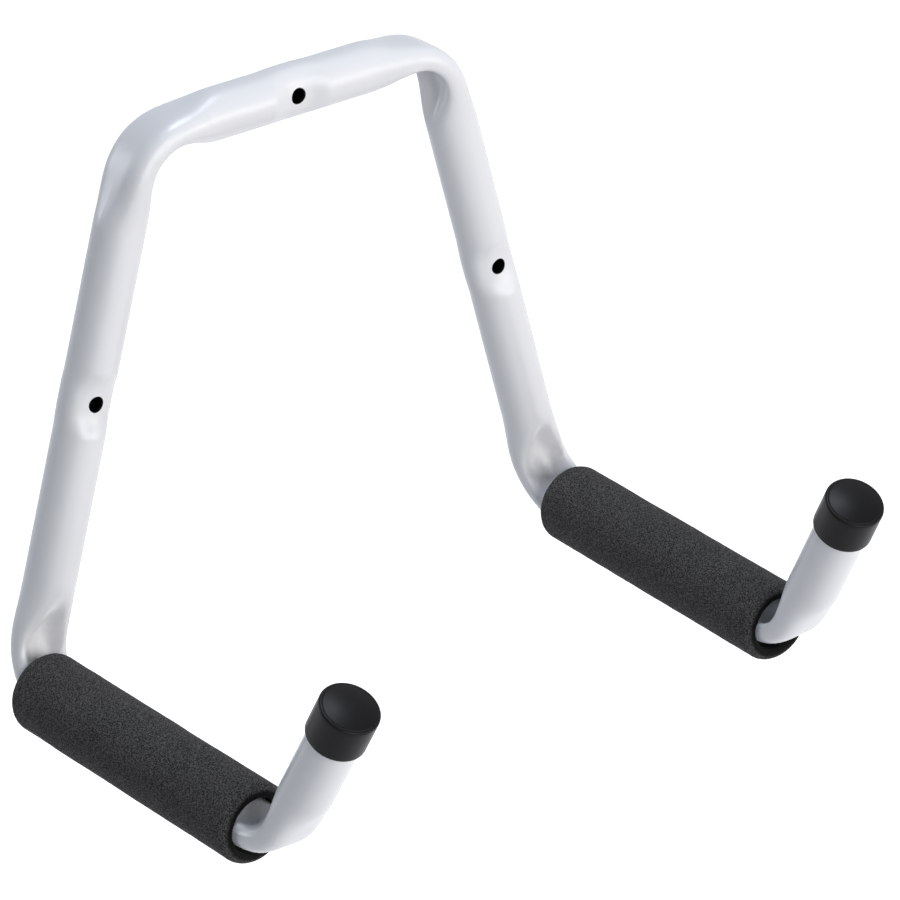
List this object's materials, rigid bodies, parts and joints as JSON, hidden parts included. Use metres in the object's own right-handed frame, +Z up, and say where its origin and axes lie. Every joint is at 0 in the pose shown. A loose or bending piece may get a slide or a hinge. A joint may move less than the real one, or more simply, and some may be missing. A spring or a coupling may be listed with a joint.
{
  "type": "tool rack",
  "caption": "Wall rack of one bent steel tube: a trapezoid frame that runs forward into padded arms with turned up capped tips, for hanging long tools.",
  "frame": {"origin": "on the axis of the top screw hole, at the back of the tube, the side that faces the wall", "axes": "+X to the right as seen from the front, +Y into the wall, +Z up; the arms run towards -Y"},
  "size_m": [0.3128, 0.2332, 0.2579],
  "materials": {
    "coated_steel": "gloss powder coat",
    "foam": "matte closed cell foam",
    "cap_rubber": "satin soft vinyl"
  },
  "bodies": {
    "root": {"tube_frame": "coated_steel", "left_foam_sleeve": "foam", "right_foam_sleeve": "foam", "left_end_cap": "cap_rubber", "right_end_cap": "cap_rubber"}
  },
  "joints": []
}
